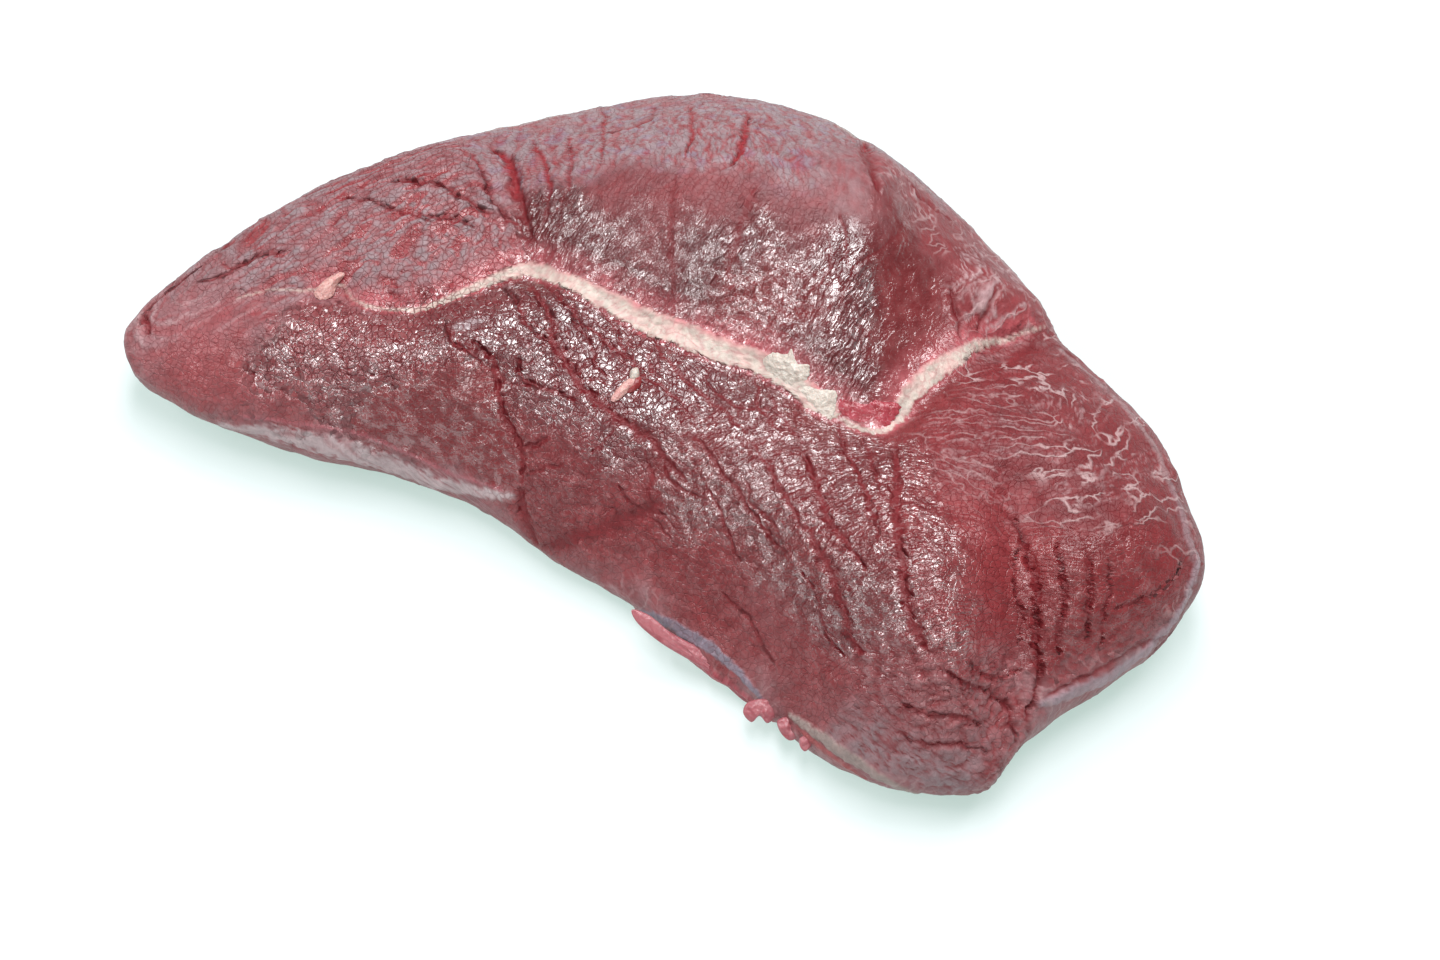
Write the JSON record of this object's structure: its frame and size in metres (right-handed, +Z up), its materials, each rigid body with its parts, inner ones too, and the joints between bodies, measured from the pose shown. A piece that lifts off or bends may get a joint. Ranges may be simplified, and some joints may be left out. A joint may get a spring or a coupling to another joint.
{
  "type": "bolar roast",
  "caption": "Raw boneless beef shoulder roast, half-moon in plan, with a thick humped back, a thinner near side and a fat seam between them, lying flat on its underside.",
  "frame": {"origin": "on the resting surface, under the middle of the bounding box", "axes": "+X along the length, from the thin end to the thick end; +Y from the nearly straight near side to the curved back; +Z up"},
  "size_m": [0.36, 0.22, 0.0831],
  "materials": {
    "raw_beef": "moist satin raw meat, dark red, with a cream fat seam, grey-pink connective skin and fine wrinkles"
  },
  "bodies": {
    "root": {"bolar_roast": "raw_beef"}
  },
  "joints": []
}
